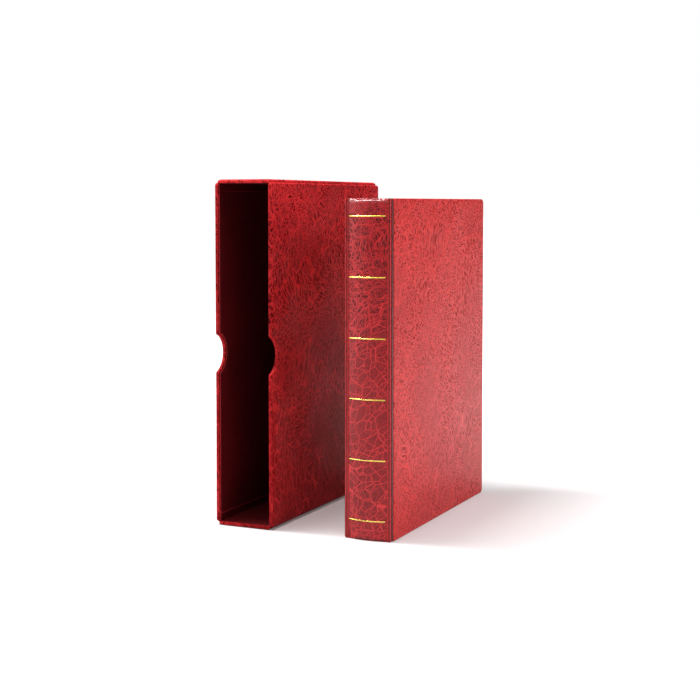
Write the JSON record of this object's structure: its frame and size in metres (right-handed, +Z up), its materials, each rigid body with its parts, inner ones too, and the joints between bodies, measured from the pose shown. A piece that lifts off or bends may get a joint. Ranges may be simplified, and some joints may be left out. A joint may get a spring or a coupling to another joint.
{
  "type": "ring binder with slipcase",
  "caption": "Red leatherette ring binder standing beside its open slipcase, with hinged covers, a convex spine and a lever-operated ring mechanism.",
  "frame": {"origin": "on the surface that both stand on, in the middle of the box round the slipcase and the binder", "axes": "+X across from the slipcase to the binder, +Y from the open mouth and the spine towards the back, +Z up"},
  "size_m": [0.18, 0.248, 0.328],
  "materials": {
    "grained_leatherette": "grained satin",
    "smooth_lining": "smooth satin",
    "greyboard": "matte",
    "thin_foam": "matte",
    "nickel_plated_steel": "polished nickel plate",
    "rivet_steel": "satin nickel plate"
  },
  "bodies": {
    "slipcase": {"slipcase_left_skin": "grained_leatherette", "slipcase_left_board": "greyboard", "slipcase_left_lining": "smooth_lining", "slipcase_right_skin": "grained_leatherette", "slipcase_right_board": "greyboard", "slipcase_right_lining": "smooth_lining", "slipcase_top_skin": "grained_leatherette", "slipcase_top_board": "greyboard", "slipcase_top_lining": "smooth_lining", "slipcase_bottom_skin": "grained_leatherette", "slipcase_bottom_board": "greyboard", "slipcase_bottom_lining": "smooth_lining", "slipcase_back_skin": "grained_leatherette", "slipcase_back_board": "greyboard", "slipcase_back_lining": "smooth_lining"},
    "back_cover": {"back_cover_skin": "grained_leatherette", "back_cover_padding": "thin_foam", "back_cover_board": "greyboard", "back_cover_lining": "smooth_lining"},
    "spine": {"spine_skin": "grained_leatherette", "spine_padding": "thin_foam", "spine_board": "greyboard", "spine_lining": "smooth_lining", "front_hinge_strip": "grained_leatherette", "back_hinge_strip": "grained_leatherette", "ring_housing": "nickel_plated_steel", "housing_rivets": "rivet_steel", "lever_pins": "nickel_plated_steel"},
    "front_cover": {"front_cover_skin": "grained_leatherette", "front_cover_padding": "thin_foam", "front_cover_board": "greyboard", "front_cover_lining": "smooth_lining"},
    "left_ring_half": {"left_ring_blade": "nickel_plated_steel", "left_half_rings": "nickel_plated_steel"},
    "right_ring_half": {"right_ring_blade": "nickel_plated_steel", "right_half_rings": "nickel_plated_steel"},
    "upper_lever": {"upper_ring_lever": "nickel_plated_steel"},
    "lower_lever": {"lower_ring_lever": "nickel_plated_steel"}
  },
  "joints": [
    {"name": "binder_slide", "type": "slide", "parent": "slipcase", "child": "back_cover", "axis": [0, -1, 0], "range_m": [0, 0.25]},
    {"name": "back_cover_hinge", "type": "hinge", "parent": "back_cover", "child": "spine", "pos_m": [0.0432, -0.1174, 0.155], "axis": [0, 0, -1], "range_deg": [0, 90]},
    {"name": "front_cover_hinge", "type": "hinge", "parent": "spine", "child": "front_cover", "pos_m": [0.0888, -0.1174, 0.155], "axis": [0, 0, -1], "range_deg": [0, 90]},
    {"name": "ring_opening", "type": "hinge", "parent": "spine", "child": "left_ring_half", "pos_m": [0.05685, -0.1135, 0.155], "axis": [0, 0, 1], "range_deg": [0, 15]},
    {"name": "right_ring_opening", "type": "hinge", "parent": "spine", "child": "right_ring_half", "pos_m": [0.07515, -0.1135, 0.155], "axis": [0, 0, -1], "range_deg": [0, 15]},
    {"name": "upper_lever_turn", "type": "hinge", "parent": "spine", "child": "upper_lever", "pos_m": [0.066, -0.1131, 0.289], "axis": [1, 0, 0], "range_deg": [0, 27]},
    {"name": "lower_lever_turn", "type": "hinge", "parent": "spine", "child": "lower_lever", "pos_m": [0.066, -0.1131, 0.021], "axis": [-1, 0, 0], "range_deg": [0, 27]}
  ],
  "couplings": [
    {"joint": "right_ring_opening", "follows": "ring_opening", "ratio": 1},
    {"joint": "upper_lever_turn", "follows": "ring_opening", "ratio": 1.8},
    {"joint": "lower_lever_turn", "follows": "ring_opening", "ratio": 1.8}
  ]
}
